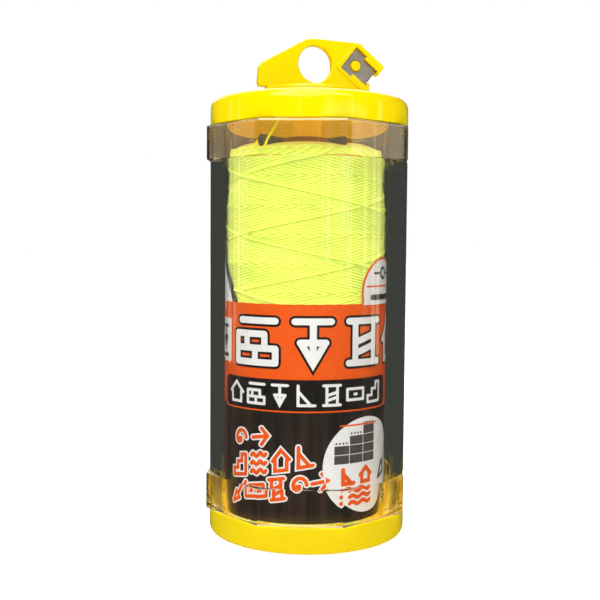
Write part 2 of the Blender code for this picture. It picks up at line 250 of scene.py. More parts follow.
def rounded(corners, steps=4):
    """A closed outline of (x, z, edge radius) corners, with each corner replaced by its fillet."""
    points = []
    count = len(corners)
    for i in range(count):
        here = Vector(corners[i][:2])
        radius = corners[i][2] if len(corners[i]) > 2 else 0.0
        if radius == 0.0:
            points.append(tuple(here))
            continue
        to_last = Vector(corners[i - 1][:2]) - here
        to_next = Vector(corners[(i + 1) % count][:2]) - here
        room = 0.49 * min(to_last.length, to_next.length)
        half = to_last.angle(to_next, math.pi) / 2
        setback = min(radius / math.tan(max(half, 1e-3)), room)
        first = here + to_last.normalized() * setback
        last = here + to_next.normalized() * setback
        for k in range(steps + 1):
            t = k / steps
            bend = first * (1 - t) ** 2 + here * 2 * t * (1 - t) + last * t ** 2
            points.append(tuple(bend))
    return points


def around(count):
    """Evenly spaced angles of one full turn."""
    return [2 * math.pi * i / count for i in range(count)]


def rectangle(low, high):
    return [(low[0], low[1]), (high[0], low[1]), (high[0], high[1]), (low[0], high[1])]


def lofted(name, outline_at, angles, look):
    """Join the (radius, height) outlines that outline_at gives for each angle."""
    bm = bmesh.new()
    rings = []
    for angle in angles:
        points = [(*on_circle((0, 0), radius, angle), height) for radius, height in outline_at(angle)]
        rings.append([bm.verts.new(point) for point in points])
    for i in range(len(rings)):
        here, after = rings[i], rings[(i + 1) % len(rings)]
        for k in range(len(here)):
            follow = (k + 1) % len(here)
            bm.faces.new((here[k], after[k], after[follow], here[follow]))
    bmesh.ops.remove_doubles(bm, verts=bm.verts[:], dist=1e-7)
    bmesh.ops.dissolve_degenerate(bm, edges=bm.edges[:], dist=1e-7)
    loose = [edge for edge in bm.edges if not edge.link_faces]
    bmesh.ops.delete(bm, geom=loose, context="EDGES")
    return from_bmesh(name, bm, look)


def turned(name, outline, look, segments=SEGMENTS):
    return lofted(name, lambda angle: outline, around(segments), look)


def skinned(name, rings, look=None, sharp_degrees=35):
    """Close a row of rings of points into a solid."""
    bm = bmesh.new()
    rows = [[bm.verts.new(point) for point in ring] for ring in rings]
    for here, after in zip(rows, rows[1:]):
        for i in range(len(here)):
            follow = (i + 1) % len(here)
            bm.faces.new((here[i], here[follow], after[follow], after[i]))
    bm.faces.new(rows[0])
    bm.faces.new(rows[-1][::-1])
    return from_bmesh(name, bm, look, sharp_degrees)


def prism(name, outline, y_low, y_high):
    return skinned(name, [[(x, y, z) for x, z in outline] for y in (y_low, y_high)])


def peg(name, center, outline, segments):
    """Turn an (along Y, radius) outline about a line along Y through an (x, z) point."""
    rings = []
    for along, radius in outline:
        circle = [on_circle(center, radius, angle) for angle in around(segments)]
        rings.append([(x, along, z) for x, z in circle])
    return skinned(name, rings)


def inset_corners(corners, amount):
    """Move every edge of a counter-clockwise (x, z, edge radius) outline inwards."""
    moved = []
    count = len(corners)
    for i in range(count):
        before, here, after = (Vector(corners[k % count][:2]) for k in (i - 1, i, i + 1))
        first, second = (here - before).normalized(), (after - here).normalized()
        turn = first.x * second.y - first.y * second.x
        place_now = here + mitre(first, second, amount, 0.2)
        radius = corners[i][2]
        if radius > 0.0:
            radius = max(radius - amount, 0.00005) if turn > 0 else radius + amount
        moved.append((place_now.x, place_now.y, radius))
    return moved


def plate(name, corners, y_low, y_high, edge):
    """A flat plate along Y with rounded rims, from a counter-clockwise outline of corners."""
    turns = [math.pi / 2 * k / 3 for k in range(4)]
    rim = [(edge * (1 - math.cos(turn)), edge * (1 - math.sin(turn))) for turn in turns]
    rows = [(y_low + depth, amount) for depth, amount in rim]
    rows += [(y_high - depth, amount) for depth, amount in reversed(rim)]
    rings = [[(x, y, z) for x, z in rounded(inset_corners(corners, amount))] for y, amount in rows]
    return skinned(name, rings, YELLOW)


def tube_data(centers, normals, half_width, half_height, sides):
    """Vertices, quads and end caps of a flattened tube whose flat side faces the normals."""
    forward = np.gradient(centers, axis=0)
    forward /= np.linalg.norm(forward, axis=1)[:, None]
    across = np.cross(forward, normals)
    across /= np.linalg.norm(across, axis=1)[:, None]
    out = np.cross(across, forward)
    verts = []
    for k in range(sides):
        angle = 2 * math.pi * (k + 0.5) / sides
        side = across * (half_width * math.cos(angle)) + out * (half_height * math.sin(angle))
        verts.append(centers + side)
    verts = np.stack(verts, axis=1).reshape(-1, 3)
    faces = []
    last = len(centers) - 1
    for i in range(last):
        for k in range(sides):
            follow = (k + 1) % sides
            faces.append((i * sides + k, i * sides + follow, (i + 1) * sides + follow, (i + 1) * sides + k))
    faces.append(tuple(range(sides - 1, -1, -1)))
    faces.append(tuple(last * sides + k for k in range(sides)))
    run = np.concatenate([[0], np.cumsum(np.linalg.norm(np.diff(centers, axis=0), axis=1))])
    return verts, faces, run


def tubes(name, strands, look, sides=6):
    """One mesh of many strands; its UV map runs along and round each strand."""
    all_verts, all_faces, uv = [], [], []
    base = 0
    for centers, normals, half_width, half_height in strands:
        verts, faces, run = tube_data(centers, normals, half_width, half_height, sides)
        for face in faces:
            all_faces.append(tuple(base + v for v in face))
            for v in face:
                step = v % sides
                if step == 0 and len(face) == 4 and any(w % sides == sides - 1 for w in face):
                    step = sides
                uv.append((run[v // sides], step / sides))
        all_verts.append(verts)
        base += len(verts)
    mesh = bpy.data.meshes.new(name)
    mesh.from_pydata(np.concatenate(all_verts).tolist(), [], all_faces)
    layer = mesh.uv_layers.new(name="strand")
    layer.data.foreach_set("uv", np.array(uv, np.float32).ravel())
    mesh.validate()
    mesh.shade_smooth()
    mesh.set_sharp_from_angle(angle=math.radians(70))
    mesh.materials.append(look)
    return link(bpy.data.objects.new(name, mesh))


def place(item, body, slot, *nodes):
    if body == "spool":
        item.location.x += SPOOL_X
    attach(item, body)
    if nodes:
        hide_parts(*nodes)
    return item


# Materials

EVEN = (1, 1, 1)               # a texture that isn't stretched


class Look:
    """A Principled material and short ways to feed it."""

    def __init__(self, name):
        self.material = bpy.data.materials.new(name)
        self.material.use_nodes = True
        self.nodes = self.material.node_tree.nodes
        self.links = self.material.node_tree.links
        self.shader = self.nodes["Principled BSDF"]

    def put(self, socket, value):
        """Link another node's output to a socket, or give it a plain value."""
        if isinstance(value, bpy.types.NodeSocket):
            self.links.new(value, socket)
        else:
            socket.default_value = (*value, 1.0) if socket.type == "RGBA" else value

    def fill(self, node, values):
        for key, value in values.items():
            self.put(node.inputs[key.replace("_", " ")], value)
        return node

    def node(self, kind, **values):
        return self.fill(self.nodes.new("ShaderNode" + kind), values)

    def set(self, **values):
        self.fill(self.shader, values)

    def coordinates(self, scale=EVEN, kind="Object", turn=(0, 0, 0)):
        origin = self.node("TexCoord").outputs[kind]
        return self.node("Mapping", Vector=origin, Scale=scale, Rotation=turn).outputs["Vector"]

    def noise(self, stretch, scale, detail, roughness=0.5, turn=(0, 0, 0)):
        where = self.coordinates(stretch, turn=turn)
        node = self.node("TexNoise", Vector=where, Scale=scale, Detail=detail, Roughness=roughness)
        return node.outputs["Fac"]

    def ramp(self, source, stops):
        node = self.nodes.new("ShaderNodeValToRGB")
        elements = node.color_ramp.elements
        while len(elements) < len(stops):
            elements.new(0.5)
        for element, (position, color) in zip(elements, stops):
            element.position = position
            element.color = (*color, 1.0)
        self.links.new(source, node.inputs["Fac"])
        return node.outputs["Color"]

    def span(self, source, low, high, from_low=0.0, from_high=1.0):
        node = self.node("MapRange", Value=source, From_Min=from_low, From_Max=from_high,
                         To_Min=low, To_Max=high)
        return node.outputs["Result"]

    def combine(self, operation, first, second):
        node = self.nodes.new("ShaderNodeMath")
        node.operation = operation
        self.put(node.inputs[0], first)
        self.put(node.inputs[1], second)
        return node.outputs["Value"]

    def mixed(self, first, second, share):
        """Two values mixed by the first one's share."""
        first_part = self.combine("MULTIPLY", first, share)
        return self.combine("ADD", first_part, self.combine("MULTIPLY", second, 1 - share))

    def rub(self):
        """Fine rub marks in the polish of a clear moulding."""
        rubs = self.noise((1, 1, 0.08), 900, 3, 0.6)
        self.set(Roughness=self.span(rubs, 0.0, 0.05, 0.45, 0.8))

    def bump(self, height, strength, distance):
        node = self.node("Bump", Height=height, Strength=strength, Distance=distance)
        self.set(Normal=node.outputs["Normal"])


def moulded_plastic(name, light, dark, roughness=0.15, glow=0.0):
    """Gloss injection moulding: faint flow marks, a soft ripple and fine handling marks.

    A glow is painted light that stands in for daylight coming through the translucent wall.
    """
    look = Look(name)
    look.set(IOR=1.46, Specular_IOR_Level=0.4, Emission_Color=light, Emission_Strength=glow)
    flow = look.noise((1, 1, 0.35), 60, 3)
    look.set(Base_Color=look.ramp(flow, [(0.3, dark), (0.7, light)]))
    marks = look.noise((1, 1, 6), 420, 4, 0.65, (0.3, 0.1, 0.5))
    look.set(Roughness=look.span(marks, roughness * 0.6, roughness * 1.7, 0.35, 0.75))
    ripple = look.noise(EVEN, 260, 2)
    look.bump(look.combine("ADD", ripple, look.combine("MULTIPLY", marks, 0.25)), 0.10, 0.00008)
    return look.material


def clear_plastic(name, tint=(0.93, 0.93, 0.90), clearness=1.0):
    """Clear moulding with a faint tint, grey by default, and fine rub marks; warm tints with less clearness
    serve the collars' painted light and painted highlights.
    """
    look = Look(name)
    look.set(Base_Color=tint, IOR=1.49, Transmission_Weight=clearness)
    look.rub()
    look.bump(look.noise((1, 1, 0.15), 70, 1), 0.05, 0.0002)
    return look.material


def corner_painted_glow_plastic(name, clear, amber, glow, strength):
    """Clear moulding with a painted warm glow and amber colour at its corners, standing in for the light
    that a yellow cap sends in.
    """
    look = Look(name)
    look.set(IOR=1.49, Transmission_Weight=1.0, Emission_Color=glow)
    parts = look.node("SeparateXYZ", Vector=look.coordinates())
    sideways = look.combine("ABSOLUTE", parts.outputs["X"], 0.0)
    fore_and_aft = look.combine("ABSOLUTE", parts.outputs["Y"], 0.0)
    # Painted light: amber colour at the corners, and a glow that fades upwards and is brighter towards +X.
    corner = look.combine("MULTIPLY", look.span(sideways, 0.0, 1.0, *CORNER_SIDE),
                          look.span(fore_and_aft, 0.0, 1.0, *CORNER_DEPTH))
    look.set(Base_Color=look.ramp(corner, [(0.0, clear), (1.0, amber)]))
    blotches = look.span(look.noise((1, 1, 0.6), 190, 2), 0.45, 1.45, 0.35, 0.65)
    fading = look.span(parts.outputs["Z"], 1.25, 0.70, *LOWER_COLLAR)
    lit_side = look.span(parts.outputs["X"], 0.80, 1.20, -BORE_R, BORE_R)
    shine = blotches
    for factor in (fading, lit_side, corner, strength):
        shine = look.combine("MULTIPLY", shine, factor)
    look.set(Emission_Strength=shine)
    look.rub()
    look.bump(blotches, 0.08, 0.0002)
    return look.material


def clear_film(name):
    look = Look(name)
    look.set(Base_Color=(0.98, 0.98, 0.97), IOR=1.33, Transmission_Weight=1.0)
    wrinkle = look.noise((1, 1, 0.12), 160, 2)
    look.set(Roughness=look.span(wrinkle, 0.02, 0.09))
    look.bump(wrinkle, 0.15, 0.0003)
    return look.material


def brushed_steel(name):
    look = Look(name)
    look.set(Metallic=1.0, Anisotropic=0.4)
    grain = look.noise((40, 40, 2400), 1.0, 4, 0.7, (0, BLADE_TILT, 0))
    mixed = look.mixed(grain, look.noise(EVEN, 350, 3), 0.6)
    look.set(Base_Color=look.ramp(mixed, [(0.3, (0.52, 0.47, 0.45)), (0.7, (0.74, 0.69, 0.66))]))
    look.set(Roughness=look.span(grain, 0.34, 0.55))
    look.bump(grain, 0.2, 0.00002)
    return look.material


def kraft_board(name):
    """Spiral-wound paper board: fibres and blotches."""
    look = Look(name)
    fibres = look.noise((1, 1, 3), 900, 5, 0.7)
    mixed = look.mixed(fibres, look.noise(EVEN, 120, 2), 0.65)
    look.set(Base_Color=look.ramp(mixed, [(0.3, (0.30, 0.15, 0.055)), (0.7, (0.52, 0.31, 0.13))]))
    look.set(Roughness=0.88)
    look.bump(fibres, 0.5, 0.0001)
    return look.material


def fluorescent_line(name, light, dark, glow, shine=(1.0, 1.0, 0.31)):
    """Braided nylon: bright dye with the strand's own slanting filaments. Its glow is partly the dye's
    fluorescence and partly painted light that fills the shaded grooves between strands.
    """
    look = Look(name)
    look.set(Roughness=0.42, Specular_IOR_Level=0.35, Sheen_Weight=0.2)
    look.set(Emission_Color=shine, Emission_Strength=glow)
    dye = look.noise((1, 1, 2), 90, 3)
    look.set(Base_Color=look.ramp(dye, [(0.25, dark), (0.6, light)]))
    lay = look.node("TexWave", Vector=look.coordinates((1500, 3.0, 1), "UV"), Scale=1.0, Distortion=0.6)
    lay.bands_direction = "DIAGONAL"
    look.bump(lay.outputs["Fac"], 0.35, 0.0001)
    return look.material


def printed_film(name, upright, scale, stops, roughness, wrinkling):
    """Gravure print on tightly drawn film: a grain of colour and gloss over fine wrinkles."""
    look = Look(name)
    look.set(Specular_IOR_Level=0.5, Coat_Weight=0.3, Coat_Roughness=0.12)
    grain = look.noise((1, 1, upright), scale, 4, 0.6)
    look.set(Base_Color=look.ramp(grain, stops))
    look.set(Roughness=look.span(grain, *roughness))
    look.bump(look.noise((1, 1, 0.12), 160, 2), wrinkling, 0.0003)
    return look.material


def ink(name, light, dark, roughness=0.32):
    """Even, slightly mottled print."""
    stops = [(0.3, dark), (0.6, light)]
    return printed_film(name, 0.5, 500, stops, (roughness - 0.05, roughness + 0.08), 0.08)


def streaked_ink(name, dark, warm):
    """Thin print whose warm upright streaks show what lies behind it."""
    return printed_film(name, 0.03, 420, [(0.42, dark), (0.78, warm)], (0.26, 0.42), 0.10)


YELLOW = moulded_plastic("yellow_gloss", (0.86, 0.66, 0.0), (0.84, 0.635, 0.0), 0.10)
# Painted shade: a darker copy of the yellow for the bottom cap, which is the same plastic.
YELLOW_FOOT_PAINTED_SHADE = moulded_plastic("yellow_gloss_foot_painted_shade", (0.68, 0.505, 0.0), (0.66, 0.490, 0.0))
# Painted shade and painted light: an oranger, darker copy of the yellow with a glow, for the shaded insides
# of the lid and cap.
YELLOW_PAINTED_SHADE_GLOW = moulded_plastic("yellow_painted_shade_and_glow", (0.78, 0.45, 0.004), (0.745, 0.415, 0.003),
                                0.35, 0.52)
CLEAR = clear_plastic("clear_case_plastic")
# Painted light: a warm, slightly hazy copy of the clear plastic lightens and warms the upper collar, as if
# lit by the yellow lid.
COLLAR_CLEAR_PAINTED_WARM_LIGHT = clear_plastic("collar_plastic_painted_warm_light", (0.93, 0.84, 0.66), 0.98)
# Painted light: the lower collar glows warm at its corners, as if lit by the yellow cap.
LOWER_CLEAR_PAINTED_GLOW = corner_painted_glow_plastic("lower_collar_painted_glow", (0.93, 0.89, 0.81), (0.93, 0.68, 0.30),
                                 (1.0, 0.60, 0.03), 0.33)
# Painted highlights: pale, less clear bands along the collars' edges next to the caps, brightest on the
# front and back flats.
BRIGHT_EDGE_PAINTED_HIGHLIGHT = clear_plastic("collar_edge_painted_highlight_bright", (0.95, 0.80, 0.38), 0.40)
SOFT_EDGE_PAINTED_HIGHLIGHT = clear_plastic("collar_edge_painted_highlight_soft", (0.92, 0.80, 0.60), 0.84)
FILM = clear_film("clear_film")
STEEL = brushed_steel("cutter_steel")
KRAFT = kraft_board("kraft_core")
LINE = fluorescent_line("fluorescent_line", (0.80, 0.92, 0.09), (0.62, 0.84, 0.045), 0.31)
# Painted shade: a darker copy of the line for the package body that shows in the grooves between strands.
LINE_SHADE = fluorescent_line("fluorescent_line_painted_shade", (0.70, 0.92, 0.05), (0.52, 0.80, 0.03), 0.26)
LINE_SINGLE = fluorescent_line("fluorescent_line_single", (0.95, 0.86, 0.02), (0.9, 0.8, 0.01), 0.45,
                               (1.0, 0.85, 0.01))
INK_ORANGE = ink("ink_orange", (0.90, 0.110, 0.004), (0.86, 0.098, 0.003))
INK_BLACK = ink("ink_black", (0.009, 0.006, 0.006), (0.005, 0.004, 0.004), 0.28)
INK_GROUND = streaked_ink("ink_black_ground", (0.008, 0.006, 0.005), (0.050, 0.024, 0.014))
INK_WHITE = ink("ink_white", (0.92, 0.92, 0.93), (0.88, 0.88, 0.89))
INK_TEAL = ink("ink_teal", (0.008, 0.020, 0.022), (0.006, 0.015, 0.018))
INK_GREY = ink("ink_grey", (0.085, 0.075, 0.070), (0.060, 0.055, 0.052))
INK_RED = ink("ink_red", (0.30, 0.02, 0.015), (0.22, 0.015, 0.012))


# Caps

def paint_part(item, is_there, look):
    """Give the faces whose centre and normal pass a test a second look."""
    item.data.materials.append(look)
    for face in item.data.polygons:
        if is_there(face.center, face.normal):
            face.material_index = len(item.data.materials) - 1


def make_bottom_cap():
    top = LOWER_COLLAR[0] - GAP
    floor = CAP_FLOOR_Z
    seat = CORE_LOW.z - GAP
    peg_top = floor + SPIGOT_LENGTH
    foot_r = CAP_R - 0.0052
    recess = 0.0005
    gate_r = 0.0016
    outline = [(0.0, recess - 0.0002), (gate_r, recess - 0.0002, 0.0001), (gate_r + 0.0003, recess, 0.0002)]
    outline += [(foot_r, recess, 0.0004), (foot_r + 0.0006, 0.0, 0.0004), (CAP_R, 0.0, 0.0024)]
    outline += [(CAP_R, top, 0.00035), (SKIRT_R, top, 0.0003), (SKIRT_R, floor, 0.0008)]
    outline += [(CORE_R + 0.0020, floor, 0.0003), (CORE_R + 0.0020, seat, 0.0003), (SPIGOT_R, seat, 0.0004)]
    outline += [(SPIGOT_R - 0.0001, peg_top, 0.0005), (SPIGOT_BORE_R, peg_top, 0.0003)]
    outline += [(SPIGOT_BORE_R, floor, 0.0004), (0.0, floor)]
    cap = turned("bottom_cap_shell", rounded(outline, 6), YELLOW_FOOT_PAINTED_SHADE)
    # The cap's inside gets painted shade and a painted glow.
    paint_part(cap, lambda c, n: c.z > floor - 0.0006 and c.xy.length < SKIRT_R + 0.0002, YELLOW_PAINTED_SHADE_GLOW)
    place(cap, "base", "yellow_plastic", "bottom_cap")


# Clear case

def octagon_radius(angle):
    eighth = math.pi / 4
    offset = (angle - COLLAR_YAW + eighth / 2) % eighth - eighth / 2
    return min(FLAT_R / math.cos(offset), COLLAR_CORNER_R)


def collar_angles():
    """Angles round the case: evenly over each flat, with one more at each softened corner."""
    half_flat = math.acos(FLAT_R / COLLAR_CORNER_R)
    steps = 20
    angles = []
    for side in range(8):
        middle = COLLAR_YAW + side * math.pi / 4
        angles += [middle - half_flat + 2 * half_flat * i / steps for i in range(steps + 1)]
        angles.append(middle + math.pi / 8)
    return angles


def case_end(flat, rim, collar_outside, collar_inside, inwards):
    """One end of the case, from its rim to the tube; inwards is 1 or -1 along Z."""
    bead = NECK_R + NECK_BEAD
    outline = [(BORE_R, rim, 0.0003), (NECK_R, rim, 0.0003)]
    for radius, depth in ((NECK_R, 0.0022), (bead, 0.0026), (bead, 0.0034), (NECK_R, 0.0038)):
        outline.append((radius, rim + inwards * depth, 0.0002))
    outline += [(NECK_R, collar_outside, 0.0002), (flat, collar_outside, 0.0004)]
    outline += [(flat, collar_outside + inwards * EDGE_BAND)]
    outline += [(flat, collar_inside, 0.0004), (TUBE_R, collar_inside, 0.0002)]
    return outline


def case_outline(angle):
    flat = octagon_radius(angle)
    lower = case_end(flat, CASE_LOW.z, LOWER_COLLAR[0], LOWER_COLLAR[1], 1)
    upper = case_end(flat, CASE_HIGH.z, UPPER_COLLAR[1], UPPER_COLLAR[0], -1)
    return rounded(lower + upper[::-1], 3)


def make_clear_case():
    case = lofted("clear_case_moulding", case_outline, collar_angles(), CLEAR)
    case = even_shading(case, 40)
    # The collars' outer faces get painted warm light above and a painted glow below.
    for (low, high), look in ((UPPER_COLLAR, COLLAR_CLEAR_PAINTED_WARM_LIGHT), (LOWER_COLLAR, LOWER_CLEAR_PAINTED_GLOW)):
        paint_part(case, lambda c, n: low - GAP < c.z < high + GAP and c.xy.length > NECK_R + GAP, look)
    flat_end = FLAT_R * math.tan(math.pi / 8)
    across = Vector((math.cos(COLLAR_YAW), math.sin(COLLAR_YAW)))
    # Painted highlight along each collar's edge, paler on the front and back flats.
    for edge, side in ((UPPER_COLLAR[1], 1), (LOWER_COLLAR[0], -1)):
        def at_edge(c, n):
            return abs(c.z - edge) < EDGE_BAND and -0.1 < n.z * side < 0.98 and c.xy.length > FLAT_R - 0.0006
        paint_part(case, at_edge, SOFT_EDGE_PAINTED_HIGHLIGHT)
        paint_part(case, lambda c, n: at_edge(c, n) and abs(c.xy.dot(across)) < flat_end, BRIGHT_EDGE_PAINTED_HIGHLIGHT)
    case.visible_shadow = False
    place(case, "case", "clear_plastic", "clear_case")


# Lid with its hanging tab

def blade_point(along, across):
    """A point of the blade's own frame as an (x, z) point of the tab's plane."""
    cos, sin = math.cos(BLADE_TILT), math.sin(BLADE_TILT)
    return (BLADE_AT[0] + along * cos - across * sin, BLADE_AT[1] + along * sin + across * cos)


def blade_outline(low, high):
    """A rectangle of the blade's own frame in the tab's plane."""
    return [blade_point(*corner) for corner in rectangle(low, high)]


def tab_outline():
    foot_half = BOSS_R - 0.0014
    soft, tight = 0.0006, 0.0002
    outline = [(-foot_half, BOSS_TOP_Z - 0.0008, 0), (foot_half, BOSS_TOP_Z - 0.0008, 0)]
    outline += [(foot_half + 0.0006, TAB_FOOT_Z, tight), (0.0199, TAB_FOOT_Z, soft)]
    outline += [(*blade_point(0.0054, NOTCH[0]), soft), (*blade_point(NOTCH_DEPTH, NOTCH[0]), tight)]
    outline += [(*blade_point(NOTCH_DEPTH, NOTCH[1]), tight), (*blade_point(TAB_END, NOTCH[1]), tight)]
    outline += [(*blade_point(TAB_END, TAB_TOP), soft), (*blade_point(-0.0050, TAB_TOP), soft)]
    outline += [(0.0014, 0.1546, 0.0020), (-0.0015, 0.1543, 0.0020)]
    outline += [(-0.0161, 0.1461, 0.0016), (-0.0168, 0.1450, 0.0012)]
    outline += [(-0.0172, 0.1400, 0.0008), (-0.0169, TAB_FOOT_Z, soft)]
    outline += [(-foot_half - 0.0006, TAB_FOOT_Z, tight)]
    return outline


def housing_outline():
    """The raised block round the blade, just inside the tab's own outline."""
    step = 0.00025
    corners = [(-0.0064, -0.0054), (0.0040, -0.0054), (0.0066, -0.0040), (0.0054 - step, NOTCH[0] - step)]
    corners += [(NOTCH_DEPTH - step, NOTCH[0] - step), (NOTCH_DEPTH - step, NOTCH[1] + step)]
    corners += [(TAB_END - step, NOTCH[1] + step), (TAB_END - step, TAB_TOP - step)]
    corners += [(-0.0050, TAB_TOP - step), (-0.0064, 0.0045)]
    return [(*blade_point(*corner), 0.0002) for corner in corners]


def through_hole(front, back, radius, flare):
    """The (along Y, radius) outline of a hole with the same (depth, widening) flare at both faces."""
    mouth = [(-0.001, flare[0][1])] + flare
    outline = [(front + depth, radius + wider) for depth, wider in mouth]
    return outline + [(back - depth, radius + wider) for depth, wider in reversed(mouth)]


def make_tab():
    front, back = -TAB_THICKNESS / 2, TAB_THICKNESS / 2
    slot_front = front + LIP_THICKNESS
    slot_back = slot_front + BLADE_THICKNESS + 2 * GAP
    tab = plate("tab", tab_outline(), front, back, 0.00035)
    housing = plate("housing", housing_outline(), front - HOUSING_RISE, front + 0.0008, 0.0002)
    boolean(tab, housing, "UNION")

    hole = through_hole(front, back, TAB_HOLE_R, [(0.0, 0.0005), (0.00015, 0.0002), (0.0005, 0.0)])
    boolean(tab, peg("tab_hole", TAB_HOLE, hole, 96), "DIFFERENCE")
    pocket = blade_outline((-POCKET_END, -POCKET_SIDE), (POCKET_END, POCKET_SIDE))
    boolean(tab, prism("pocket", pocket, front - 0.001, slot_back), "DIFFERENCE")

    inner, outer = POCKET_SIDE - LIP_COVER, POCKET_SIDE + 0.0004
    for low, high in ((inner, outer), (-outer, -inner)):
        shape = blade_outline((LIP_START, low), (POCKET_END + 0.0003, high))
        boolean(tab, prism("lip", shape, front - HOUSING_RISE * 0.8, slot_front), "UNION")
    peg_r = BLADE_HOLE_R - GAP
    peg_front = front + 0.0002
    outline = [(peg_front, peg_r - 0.0003), (peg_front + 0.0001, peg_r - 0.0001)]
    outline += [(peg_front + 0.0003, peg_r), (back - 0.0005, peg_r)]
    boolean(tab, peg("peg", blade_point(*BLADE_HOLE), outline, 48), "UNION")
    tab.data.transform(Matrix.Rotation(TAB_YAW, 4, "Z"))
    return tab


def make_lid():
    bottom = UPPER_COLLAR[1] + GAP
    ceiling = BOSS_TOP_Z - BOSS_WALL
    peg_low = CORE_HIGH.z - SPIGOT_LENGTH + 0.004
    boss_inside = BOSS_R - BOSS_WALL
    outline = [(0.0, ceiling), (SPIGOT_BORE_R, ceiling, 0.0004), (SPIGOT_BORE_R, peg_low, 0.0003)]
    outline += [(SPIGOT_R - 0.0001, peg_low, 0.0005), (SPIGOT_R, ceiling, 0.0005)]
    outline += [(boss_inside, ceiling, 0.0006)]
    outline += [(boss_inside, LID_CEILING_Z + 0.0004, 0.0003), (SKIRT_R, LID_CEILING_Z, 0.0008)]
    outline += [(SKIRT_R, bottom, 0.0003), (LID_R, bottom, 0.00035), (LID_R, LID_SHOULDER_Z, LID_EDGE_R)]
    outline += [(BOSS_R + 0.0075, LID_CROWN_Z - 0.0002, 0.004), (BOSS_R, LID_CROWN_Z, 0.0007)]
    outline += [(BOSS_R, BOSS_TOP_Z, 0.0011), (0.0, BOSS_TOP_Z)]
    lid = turned("lid_moulding", rounded(outline, 8), YELLOW, 144)
    boolean(lid, make_tab(), "UNION")
    floor = LID_SHOULDER_Z - WELL_DEPTH
    cut = [(0.0, LID_CEILING_Z - 0.002), (OUTLET_R, LID_CEILING_Z - 0.002), (OUTLET_R, floor, 0.0002)]
    cut += [(WELL_R - 0.0003, floor, 0.0004), (WELL_R, LID_SHOULDER_Z, 0.0006)]
    cut += [(WELL_R + 0.0008, BOSS_TOP_Z), (0.0, BOSS_TOP_Z)]
    outlet = turned("outlet", rounded(cut, 4), None, 48)
    outlet.location = (OUTLET[0], OUTLET[1], 0)
    boolean(lid, outlet, "DIFFERENCE")
    lid = even_shading(lid, 32)
    under = LID_SHOULDER_Z - LID_EDGE_R

    def is_inside(c, n):
        if c.z >= ceiling + 0.0001 or c.xy.length >= SKIRT_R + 0.0002:
            return False
        hidden = c.z < LID_CEILING_Z + 0.0005 or n.z < -0.5 or c.xy.length < boss_inside + 0.0002
        return hidden and (c.z < under or n.z < 0.5)

    # The lid's hidden inside gets painted shade and a painted glow.
    paint_part(lid, is_inside, YELLOW_PAINTED_SHADE_GLOW)
    place(lid, "lid", "yellow_plastic", "lid")


def make_cutter_blade():
    """A flat blade, ground to an edge at its open end, with a countersunk hole."""
    half_length, half_width = BLADE_LENGTH / 2, BLADE_WIDTH / 2
    front = -TAB_THICKNESS / 2 + LIP_THICKNESS + GAP
    back = front + BLADE_THICKNESS
    stations = [(-half_length, 0.0), (half_length - BLADE_BEVEL, 0.0), (half_length - 0.00025, 0.62),
                (half_length, 0.94)]
    rings = []
    for along, ground in stations:
        near = front + ground * BLADE_THICKNESS * 0.5
        far = back - ground * BLADE_THICKNESS * 0.5
        corners = ((near, -half_width), (near, half_width), (far, half_width), (far, -half_width))
        rings.append([(along, depth, across) for depth, across in corners])
    blade = skinned("blade", rings, STEEL, 12)
    hole = through_hole(front, back, BLADE_HOLE_R, [(0.0, 0.00008), (0.00008, 0.0)])
    boolean(blade, peg("blade_hole", BLADE_HOLE, hole, 64), "DIFFERENCE")
    turn = Matrix.Rotation(TAB_YAW, 4, "Z") @ Matrix.Translation((BLADE_AT[0], 0, BLADE_AT[1]))
    blade.data.transform(turn @ Matrix.Rotation(-BLADE_TILT, 4, "Y"))
    blade.name = "cutter_blade_ground"
    even_shading(blade, 12)
    place(blade, "lid", "blade_steel", "cutter_blade")


# Refill spool

def make_core():
    """The board tube, with the step that its outer ply's spiral edge leaves on the wall."""
    low, high = CORE_LOW.z, CORE_HIGH.z
    ply, lead = 0.00012, 0.031
    steps_high = 60
    levels = [low + 0.0003 + (high - low - 0.0006) * i / steps_high for i in range(steps_high + 1)]

    def outline(angle):
        points = [(CORE_BORE_R, low, 0.0002), (CORE_R - ply, low, 0.0002)]
        for level in levels:
            turn = (level / lead - angle / (2 * math.pi)) % 1.0
            step = min(1.0, abs(turn - 0.5) / 0.02)
            points.append((CORE_R - ply * (1.0 - step), level))
        points += [(CORE_R - ply, high, 0.0002), (CORE_BORE_R, high, 0.0002)]
        return rounded(points, 3)

    core = lofted("board_core", outline, around(96), KRAFT)
    place(core, "spool", "kraft_board", "spool_core")


def polar(radius, angle, height):
    return np.stack([radius * np.cos(angle), radius * np.sin(angle), height], axis=1)


def bed_point(along):
    """Radius, height and outward normal of the winding's bed, by distance along its outline.

    The distance equals the height on the straight wall; past the shoulders it
    continues round them and over the domed ends.
    """
    along = np.asarray(along, float)
    low, high = BED_Z
    radius = BED_SHOULDER_R
    straight_low, straight_high = low + radius, high - radius
    quarter = radius * math.pi / 2 * 0.86
    end_angle = quarter / radius
    past = np.clip(along - straight_high, 0, None) - np.clip(straight_low - along, 0, None)
    angle = np.clip(np.abs(past), 0, quarter) / radius
    beyond = np.clip(np.abs(past) - quarter, 0, None)
    side = np.sign(past)
    wall = np.clip(along, straight_low, straight_high)
    inset = radius * (1 - np.cos(angle)) + beyond * math.sin(end_angle)
    rise = radius * np.sin(angle) + beyond * math.cos(end_angle)
    waist = WAIST * np.exp(-((wall - WAIST_Z) / WAIST_REACH) ** 2)
    r = BED_R - waist - inset
    z = wall + side * rise
    return r, z, np.cos(angle), side * np.sin(angle)


